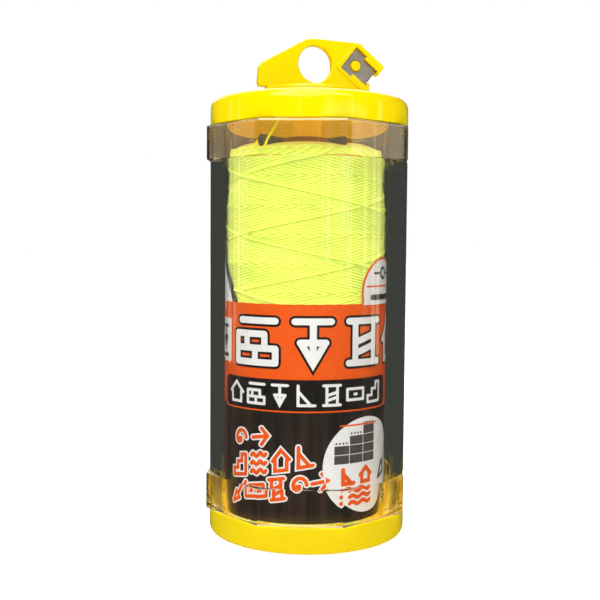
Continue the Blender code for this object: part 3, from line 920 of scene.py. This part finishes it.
def wound_strands():
    """Every traverse of the outer layers as a strand that rests on what was wound before it."""
    per_turn = 720
    cell = 0.0001
    low, high = REVERSAL_Z
    pitch = (high - low) / TRAVERSE_TURNS
    columns = int((high - low) / cell) + 24
    laid = np.zeros((per_turn, columns))
    reach = range(-3, 4)
    crown = [LINE_HALF_HEIGHT * math.sqrt(1 - (o * cell / LINE_HALF_WIDTH) ** 2) for o in reach]
    drift = 0.00006                # how far a traverse may stray along the spool
    bite = 0.00006                 # how deep a crossing line may press into those below
    settling = 0.45                # share of the build-up that is lost on the domed ends
    window = np.hanning(17)[1:-1]
    window = window / window.sum()
    jitter = random.Random(7)
    strands = []
    for number in range(PASSES):
        turn = np.arange(0, TRAVERSE_TURNS + 0.5 / per_turn, 1 / per_turn)
        edge = np.minimum(turn, TRAVERSE_TURNS - turn)
        eased = np.where(edge < REVERSAL_EASE, (edge ** 2 + REVERSAL_EASE ** 2) / (2 * REVERSAL_EASE), edge)
        travel = np.where(turn < TRAVERSE_TURNS / 2, eased, TRAVERSE_TURNS - eased) * pitch
        wander = drift * jitter.uniform(-1, 1)
        sway = wander * np.sin(math.pi * turn / TRAVERSE_TURNS * jitter.randint(2, 6) + jitter.uniform(0, 6))
        along = (low + travel if number % 2 == 0 else high - travel) + sway
        turns_now = START_TURN + number * TRAVERSE_TURNS + turn
        row = np.floor(turns_now * per_turn).astype(int) % per_turn
        column = np.clip(((along - low) / cell).astype(int) + 10, 4, columns - 5)
        lift = np.max([laid[row, column + o] + rise for o, rise in zip(reach, crown)], axis=0)
        soft = np.convolve(np.pad(lift, 7, "edge"), window, "valid")
        lift = np.maximum(soft, lift - bite)
        for o, rise in zip(reach, crown):
            np.maximum.at(laid, (row, column + o), lift + rise)
        r, z, out, up = bed_point(along)
        lift = lift * (1 - settling * up * up)
        angle = 2 * math.pi * turns_now
        radius = r + lift * out
        centers = polar(radius, angle, z + lift * up)
        normals = polar(out, angle, up)
        keep = np.unique(np.append(np.arange(0, len(turn), 8), len(turn) - 1))
        strands.append((centers[keep], normals[keep], LINE_HALF_WIDTH, LINE_HALF_HEIGHT))
    return strands


def end_arcs(at_top):
    """Line turning back on the domed end of the package, ring after ring."""
    random_end = random.Random(11 if at_top else 12)
    strands = []
    count = 17
    inner, outer = CORE_R + 0.0009, BED_R - 0.0030
    for ring in range(count):
        radius = inner + (outer - inner) * ring / (count - 1)
        arcs = 5
        for part in range(arcs):
            start = 2 * math.pi * (part + random_end.uniform(0, 0.6)) / arcs
            sweep = 2 * math.pi * (1.25 + random_end.uniform(0, 0.25)) / arcs
            t = np.linspace(0, 1, 30)
            angle = start + sweep * t
            dip = np.clip(np.abs(t - 0.5) * 2 - 0.72, 0, 1) / 0.28
            r = radius + 0.0003 * np.sin(3 * angle + ring) + 0.0010 * dip
            height = end_height(r) + LINE_HALF_HEIGHT * 0.9 - 0.0011 * dip ** 2
            z = WOUND_HIGH.z + END_CREST + height if at_top else WOUND_LOW.z - END_CREST - height
            normals = np.tile([0, 0, 1.0 if at_top else -1.0], (len(t), 1))
            strands.append((polar(r, angle, z), normals, LINE_HALF_WIDTH, LINE_HALF_HEIGHT))
    return strands


def end_height(radius):
    """Height of the domed end below its crest at the core."""
    return -END_DROP * ((radius - CORE_R) / (BED_R - CORE_R)) ** 2.2


def make_winding():
    inside = CORE_R + 0.0001
    shrink = 0.0001
    low, high = WOUND_LOW.z - END_CREST, WOUND_HIGH.z + END_CREST
    radii = [inside + (BED_R - 0.0016 - inside) * i / 12 for i in range(1, 13)]
    outline = [(inside, low)] + [(radius, low - end_height(radius)) for radius in radii]
    wall = np.linspace(BED_Z[0] - 0.0010, BED_Z[1] + 0.0010, 60)
    r, z = bed_point(wall)[:2]
    outline += [(float(a) - shrink, float(b)) for a, b in zip(r, z)]
    outline += [(radius, high + end_height(radius)) for radius in reversed(radii)] + [(inside, high)]
    # The body under the strands carries the painted shade of the grooves.
    bed = turned("package_body", outline, LINE_SHADE, 128)
    place(bed, "spool", "fluorescent_line", "line_winding")
    strands = wound_strands()
    for name, part in (("package_line_rising", strands[0::2]), ("package_line_falling", strands[1::2])):
        place(tubes(name, part, LINE), "spool", "fluorescent_line", "line_winding")
    ends = tubes("package_end_turns", end_arcs(True) + end_arcs(False), LINE)
    place(ends, "spool", "fluorescent_line", "line_winding")


# Line from the package to its stop knot

def smooth_route(stations, count):
    points = []
    last = len(stations) - 1
    for i in range(last):
        before, start = stations[max(i - 1, 0)], stations[i]
        end, after = stations[i + 1], stations[min(i + 2, last)]
        for k in range(count):
            t = k / count
            bend = (2 * before - 5 * start + 4 * end - after) * t * t
            twist = (3 * start - before - 3 * end + after) * t ** 3
            points.append(0.5 * (2 * start + (end - before) * t + bend + twist))
    points.append(stations[last])
    return np.array([tuple(point) for point in points])


def make_strand():
    x, y = OUTLET
    top = LID_SHOULDER_Z - WELL_DEPTH
    stations = [(-0.0166, -0.0184, 0.11855), (-0.0155, -0.0195, 0.11872), (-0.0141, -0.0206, 0.1190)]
    stations += [(-0.0128, -0.0218, 0.1212), (-0.0102, -0.0227, 0.1254)]
    stations += [(x - 0.0004, y, 0.1284), (x, y, 0.1315), (x, y, top + 0.0004)]
    route = smooth_route([Vector(station) for station in stations], 10)
    across = np.tile([0.2, -1.0, 0.1], (len(route), 1))
    split = int(np.searchsorted(route[:, 2], UPPER_COLLAR[1]))
    thickness = (STRAND_R, STRAND_R)
    lower = tubes("line_run_lower", [(route[:split + 1], across[:split + 1], *thickness)], LINE_SINGLE, 10)
    upper = tubes("line_run_upper", [(route[split:], across[split:], *thickness)], LINE_SINGLE, 10)
    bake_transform(lower)
    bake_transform(upper)
    for item in (lower, upper):
        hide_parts("line_strand")


def make_knot():
    """An overhand knot with a short tail, tight in the lid's well."""
    scale = 0.00040
    center = (KNOT_LOW + KNOT_HIGH) / 2
    t = np.linspace(-0.45, 2 * math.pi - 0.75, 90)
    knot = np.stack([np.sin(t) + 2 * np.sin(2 * t), np.cos(t) - 2 * np.cos(2 * t), -np.sin(3 * t)], axis=1)
    knot = knot * (scale, scale, scale * 0.95) + tuple(center)
    normals = np.tile([0.0, 0.02, 1.0], (len(t), 1))
    item = tubes("stop_knot", [(knot, normals, 0.00038, 0.00036)], LINE, 10)
    place(item, "lid", "fluorescent_line", "line_end_knot")


# Print on the film

def disc(center, radius, steps):
    return arc(center, radius, 0, 360, steps)[:-1]


def box_shape(low, high, corner=0.0):
    return rounded([(x, z, corner) for x, z in rectangle(low, high)], 6)


def arch(center, radius, below, foot):
    """A round top whose arc runs some degrees below its middle, on a straight foot."""
    outline = arc(center, radius, -below, 180 + below, 40)
    return outline + [(center[0] - radius, foot), (center[0] + radius, foot)]


def stroke(points, width):
    """Outline of a brush line of one width along a polyline, with round ends."""
    half = width / 2
    path = [Vector(point) for point in points]
    ways = [(after - here).normalized() for here, after in zip(path, path[1:])]
    left, right = [], []
    for point, first, second in zip(path, ways[:1] + ways, ways + ways[-1:]):
        side = mitre(first, second, half, 0.35)
        left.append(point + side)
        right.append(point - side)
    first, last = path[1] - path[0], path[-1] - path[-2]
    tail = math.degrees(math.atan2(-first.y, -first.x))
    head = math.degrees(math.atan2(last.y, last.x))
    outline = [tuple(p) for p in right[:-1]] + arc(path[-1], half, head - 90, head + 90)
    outline += [tuple(p) for p in reversed(left[1:-1])] + arc(path[0], half, tail - 90, tail + 90)
    return outline


def hoop(center, radius, width):
    return stroke(arc(center, radius, 90, 449, 60), width)


def print_layer(name, look, layer, outlines):
    """Wrap flat outlines of one colour on the film as one thin body."""
    spacing = 1.5 * MM
    inner = FILM_R + FILM_THICKNESS + layer * INK * 0.1
    outer = FILM_R + FILM_THICKNESS + (layer + 1) * INK
    bm = bmesh.new()
    for outline in outlines:
        face = bm.faces.new([bm.verts.new((x * MM, inner, z * MM)) for x, z in outline])
        if face.normal.y > 0:
            face.normal_flip()
        grown = bmesh.ops.extrude_face_region(bm, geom=[face])
        for item in grown["geom"]:
            if isinstance(item, bmesh.types.BMVert):
                item.co.y = outer
    low = min(vert.co.x for vert in bm.verts)
    high = max(vert.co.x for vert in bm.verts)
    cut = math.ceil(low / spacing) * spacing
    while cut < high:
        bmesh.ops.bisect_plane(bm, geom=bm.verts[:] + bm.edges[:] + bm.faces[:], dist=1e-7,
                               plane_co=(cut, 0, 0), plane_no=(1, 0, 0))
        cut += spacing
    for vert in bm.verts:
        angle = vert.co.x / FILM_R - math.pi / 2
        vert.co = (*on_circle((0, 0), vert.co.y, angle), vert.co.z)
    place(from_bmesh(name, bm, look, 40), "spool", "printed_film", "film_label")


# Signs in a unit square, as brush lines: what the line is for, and the tools beside it
WALL = [[(0, 0), (1, 0)], [(0, 0.34), (1, 0.34)], [(0, 0.68), (0.74, 0.68)], [(0.12, 1.0), (1.0, 1.0)],
        [(0.0, 0), (0.0, 0.68)], [(0.5, 0), (0.5, 0.34)], [(1.0, 0), (1.0, 0.34)],
        [(0.28, 0.34), (0.28, 0.68)], [(0.74, 0.34), (0.74, 0.68)]]
PLUMB = [[(0.1, 1.0), (0.9, 1.0)], [(0.5, 1.0), (0.5, 0.56)], [(0.22, 0.5), (0.78, 0.5)],
         [(0.24, 0.48), (0.5, 0.0), (0.76, 0.48)], [(0.5, 0.5), (0.5, 0.12)]]
SPOOL = [[(0.05, 1.0), (0.95, 1.0)], [(0.05, 0.0), (0.95, 0.0)], [(0.22, 0.08), (0.22, 0.92)],
         [(0.78, 0.92), (0.78, 0.08)], [(0.24, 0.24), (0.76, 0.40)], [(0.24, 0.50), (0.76, 0.66)]]
LEVEL = [[(0.0, 0.22), (1.0, 0.22)], [(0.0, 0.78), (1.0, 0.78)], [(0.0, 0.22), (0.0, 0.78)],
         [(1.0, 0.22), (1.0, 0.78)], [(0.44, 0.5), (0.56, 0.5)]]
HOUSE = [[(0.0, 0.5), (0.5, 1.0), (1.0, 0.5)], [(0.15, 0.5), (0.15, 0.0), (0.85, 0.0), (0.85, 0.5)]]
SQUARE = [[(0.1, 1.0), (0.1, 0.0), (0.95, 0.0)], [(0.1, 0.72), (0.74, 0.0)]]
TROWEL = [[(0.0, 0.0), (0.66, 0.16)], [(0.66, 0.16), (0.34, 0.52)], [(0.34, 0.52), (0.0, 0.0)],
          [(0.5, 0.34), (0.72, 0.58), (1.0, 0.96)]]
COIL = [[on_circle((0.5, 0.5), 0.5 * (1 - t / 30), t / 4.2) for t in range(24)], [(0.42, 0.5), (0.58, 0.5)]]
WAVES = [[(i / 16, height + 0.09 * math.sin(i * math.pi / 4)) for i in range(17)]
         for height in (0.08, 0.5, 0.92)]
STAIRS = [[(0.0, 0.0), (0.0, 0.34), (0.34, 0.34), (0.34, 0.67), (0.67, 0.67), (0.67, 1.0), (1.0, 1.0)],
          [(1.0, 1.0), (1.0, 0.0)], [(1.0, 0.0), (0.0, 0.0)]]
ARROW = [[(0.0, 0.5), (0.95, 0.5)], [(0.58, 0.9), (0.98, 0.5), (0.58, 0.1)]]


def signs(places, size, width, slope=0.0):
    """Brush lines of (sign, along, height) places, all of one size; slope lifts the right side."""
    outlines = []
    for sign, along, height in places:
        for line in sign:
            points = [(along + x * size[0], height + y * size[1] + x * size[0] * slope) for x, y in line]
            outlines.append(stroke(points, width))
    return outlines


def make_film():
    low, high = FILM_LOW.z - FILM_SKIRT, FILM_HIGH.z
    soft = 0.00003
    outline = [(FILM_R, low, soft), (FILM_R + FILM_THICKNESS, low, soft)]
    outline += [(FILM_R + FILM_THICKNESS, high, soft), (FILM_R, high, soft)]
    film = turned("film_sleeve", rounded(outline, 1), FILM, 160)
    film.visible_shadow = False
    place(film, "spool", "printed_film", "film_label")


def print_badge():
    """The arched badge that stands on the band."""
    center, radius, edge = (27.9, 76.2), 10.6, 0.7
    print_layer("print_badge_edge", INK_ORANGE, 3, [arch(center, radius, 12, 72.0)])
    print_layer("print_badge", INK_WHITE, 4, [arch(center, radius - edge, 10, 72.6)])
    print_layer("print_badge_rule", INK_ORANGE, 5, [box_shape((19.1, 77.8), (36.7, 78.3))])


def print_badge_marks():
    marks = [hoop((27.9, 82.0), 1.6, 0.8), box_shape((20.9, 73.9), (34.9, 75.6), 0.6)]
    marks += [stroke([(start, 82.0), (start + 2.6, 82.0)], 0.7) for start in (22.7, 30.5)]
    print_layer("print_badge_marks", INK_BLACK, 5, marks)


def print_ground():
    """The black ground below the band, and the pale dome on the left above it."""
    half = ROUND_FILM / 2 - 0.01
    bottom = (FILM_LOW.z - FILM_SKIRT) / MM + 0.1
    ground = box_shape((-half, bottom), (half, BAND[0] + 6))
    print_layer("print_ground", INK_GROUND, 0, [ground])
    center, radius, edge = (-56.6, 60.0), 34.4, 2.4
    start = math.degrees(math.asin((BAND[1] - 2 - center[1]) / (radius + edge)))
    print_layer("print_dark_edge", INK_TEAL, 0, [arc(center, radius + edge, start, 180 - start, 60)])
    print_layer("print_white_dome", INK_WHITE, 1, [arc(center, radius, start, 180 - start, 60)])
    print_layer("print_dome_sign", INK_GREY, 2, signs([(SPOOL, -63.0, 76.5)], (13.0, 12.0), 1.1))


def print_band():
    """The orange band in two halves, and the seam line below it."""
    low, high = BAND
    half = ROUND_FILM / 2 - 0.01
    left = -29.6
    middle, right = half + left, 2 * half + left - 1.0
    first = [(left, low + 0.001, 3.2), (middle, low, 0), (middle, high, 0), (left, high, 0)]
    second = [(middle, low, 0), (right, low, 3.2), (right, high, 0), (middle, high, 0)]
    halves = [rounded(first, 8), rounded(second, 8)]
    print_layer("print_band", INK_ORANGE, 2, halves + [hoop((33.4, 46.6), 2.6, 0.9)])
    print_layer("print_seam_line", INK_RED, 1, [box_shape((-29.4, 20.0), (-28.7, low + 4))])


def print_band_signs():
    """The black bar of small signs, the big signs, and the white box at the side."""
    print_layer("print_bar", INK_BLACK, 3, [box_shape((-28.2, 41.7), (30.0, 50.9), 2.6)])
    in_bar = (HOUSE, WALL, PLUMB, SQUARE, SPOOL, LEVEL, STAIRS)
    places = [(sign, -25.0 + 7.5 * i, 43.4) for i, sign in enumerate(in_bar)]
    print_layer("print_bar_signs", INK_WHITE, 4, signs(places, (5.6, 5.8), 0.85))

    big = ((WALL, -21.6), (PLUMB, -4.3), (SPOOL, 12.2), (HOUSE, 28.4))
    places = [(sign, along + turn, 55.6) for turn in (0, BAND_BACK) for sign, along in big]
    print_layer("print_band_signs_edge", INK_BLACK, 3, signs(places, (13.0, 12.4), 3.4))
    print_layer("print_band_signs", INK_WHITE, 4, signs(places, (13.0, 12.4), 2.0))

    print_layer("print_side_box", INK_WHITE, 3, [box_shape((-33.4, 54.8), (-25.2, 68.0), 0.8)])
    side = signs([(PLUMB, -31.4, 59.0)], (4.2, 6.6), 1.0)
    side += [box_shape((-31.6, 56.2), (-27.0, 57.3), 0.3)]
    print_layer("print_side_sign", INK_BLACK, 4, side)


def print_rows():
    """Three rising rows of small signs on the black ground."""
    places = [(COIL, -23.0, 28.8), (ARROW, -15.6, 30.1)]
    places += [(STAIRS, -23.2, 20.7), (WAVES, -16.2, 22.1), (HOUSE, -9.2, 23.5), (SQUARE, -2.2, 24.9)]
    places += [(TROWEL, -23.2, 12.6), (LEVEL, -17.0, 13.7), (SPOOL, -10.6, 14.8), (COIL, -4.2, 16.0)]
    places += [(ARROW, 2.2, 17.2)]
    print_layer("print_row_edge", INK_WHITE, 1, signs(places, (4.9, 6.0), 2.0, 0.18))
    print_layer("print_row_signs", INK_ORANGE, 2, signs(places, (4.9, 6.0), 1.1, 0.18))


def print_pictures():
    """The white disc with a stepped wall and a string, and the white panel at the back."""
    panels = [disc((19.6, 24.7), 14.4, 72), box_shape((62.0, 12.0), (102.0, 39.0), 3.0)]
    print_layer("print_disc", INK_WHITE, 2, panels)
    wall = []
    brick, course, joint = 4.7, 2.6, 0.22
    for stack, courses in enumerate((2, 3, 4)):
        left = 8.6 + stack * (brick + joint)
        for level in range(courses):
            base = 25.6 + level * (course + joint)
            wall.append(box_shape((left, base), (left + brick, base + course), 0.12))
        top = base + course + 0.75
        wall += [disc((left + 0.6 + 1.1 * k, top), 0.32, 10) for k in range(4)]
    wall += signs([(TROWEL, 26.0, 19.5)], (6.6, 9.6), 1.0)
    for i in range(4):
        wall.append(box_shape((66.0, 16.0 + 2.8 * i), (92.0 - 5 * (i % 2), 17.0 + 2.8 * i), 0.3))
    wall += signs([(HOUSE, 68.0, 29.0), (WALL, 79.0, 29.0), (LEVEL, 90.0, 29.0)], (6.5, 6.5), 0.8)
    print_layer("print_wall", INK_GREY, 3, wall)
    string = [stroke([(10.6, 37.0), (24.2, 37.0)], 0.5)]
    string += signs([(SQUARE, 11.0, 19.6), (HOUSE, 17.4, 19.6)], (4.2, 4.2), 1.3)
    string += signs([(WAVES, 12.0, 13.4)], (9.0, 4.6), 1.2)
    print_layer("print_string", INK_ORANGE, 3, string)


# Stage

def light(name, kind, power):
    data = bpy.data.lights.new(name, kind)
    data.energy = power
    return link(bpy.data.objects.new(name, data)), data


def area_light(name, size, power, azimuth, elevation, distance=0.8, color=(1, 1, 1)):
    """A rectangular soft light aimed at the middle of the case; azimuth 0 is the camera's side."""
    item, data = light(name, "AREA", power)
    data.shape = "RECTANGLE"
    data.size, data.size_y = size
    data.color = color
    a, e = math.radians(azimuth), math.radians(elevation)
    aim = Vector((0, 0, CAD_BOX[1].z / 2))
    away = Vector((math.sin(a) * math.cos(e), -math.cos(a) * math.cos(e), math.sin(e)))
    item.location = aim + away * distance
    item.rotation_mode = "QUATERNION"
    item.rotation_quaternion = away.to_track_quat("Z", "Y")


def sun_light(name, power, tilt, swing):
    item, data = light(name, "SUN", power)
    data.angle = math.radians(60)
    item.rotation_euler = (math.radians(tilt), 0, math.radians(swing))


def make_floor():
    look = Look("pale_floor")
    look.set(Roughness=0.7, Specular_IOR_Level=0.2, Emission_Color=(1.0, 1.0, 1.0), Emission_Strength=0.60)
    speckle = look.noise(EVEN, 30, 2)
    look.set(Base_Color=look.ramp(speckle, [(0.3, (0.80, 0.80, 0.79)), (0.7, (0.83, 0.83, 0.82))]))
    bm = bmesh.new()
    bmesh.ops.create_grid(bm, x_segments=2, y_segments=2, size=4.0)
    floor = from_bmesh("floor", bm, look.material)
    floor.location.z = -0.0001
    floor.visible_transmission = False
    floor.visible_glossy = False


def make_world():
    """White for the camera, and a dim grey for everything else."""
    world = bpy.data.worlds.new("studio")
    bpy.context.scene.world = world
    world.use_nodes = True
    tree = world.node_tree
    background = tree.nodes["Background"]
    path = tree.nodes.new("ShaderNodeLightPath")
    mix = tree.nodes.new("ShaderNodeMix")
    mix.data_type = "RGBA"
    mix.inputs["A"].default_value = (0.050, 0.055, 0.047, 1)
    mix.inputs["B"].default_value = (1.0, 1.0, 1.0, 1)
    tree.links.new(path.outputs["Is Camera Ray"], mix.inputs["Factor"])
    tree.links.new(mix.outputs["Result"], background.inputs["Color"])


def make_lights():
    sun_light("soft_daylight", 2.1, 42, -12)
    sun_light("soft_backlight", 0.9, -48, 10)
    area_light("key_left", (0.3, 0.3), 1.5, -38, 48, 0.9)
    area_light("fill_right", (0.3, 0.3), 1.1, 40, 45, 0.9)
    area_light("top_card", (0.50, 0.03), 2.2, 2, 80)
    area_light("rim_card", (0.40, 0.20), 0.8, 180, 40)
    area_light("lid_card", (0.78, 0.005), 0.10, 39, 11.6)
    area_light("blade_card", (0.12, 0.12), 0.04, 41, 6)
    area_light("facet_card_left", (0.08, 0.36), 0.17, -100.3, 4, 0.8, (1.0, 0.68, 0.38))
    area_light("facet_card_right", (0.08, 0.36), 0.29, 85.2, 4, 0.8, (1.0, 0.82, 0.55))
    area_light("strip_right", (0.02, 0.3), 0.05, 22, 10)
    area_light("strip_far_right", (0.025, 0.3), 0.06, 48, 8)
    area_light("strip_front", (0.012, 0.25), 0.02, -12, 12)
    area_light("strip_left", (0.03, 0.3), 0.05, -86, 8)


def make_camera():
    data = bpy.data.cameras.new("camera")
    data.lens = CAMERA_LENS
    data.sensor_width = 36.0
    data.clip_start = 0.01
    camera = link(bpy.data.objects.new("camera", data))
    tilt = Matrix.Rotation(math.pi / 2 - CAMERA_DOWN, 4, "X")
    camera.matrix_world = Matrix.Translation(CAMERA_AT) @ tilt @ Matrix.Rotation(CAMERA_ROLL, 4, "Z")
    bpy.context.scene.camera = camera


for make in (make_bottom_cap, make_clear_case, make_lid, make_cutter_blade, make_core, make_winding,
             make_strand, make_knot, make_film, print_badge, print_ground, print_band,
             print_badge_marks, print_band_signs, print_rows, print_pictures,
             make_floor, make_world, make_lights, make_camera):
    make()
bpy.context.scene.view_settings.view_transform = "Standard"
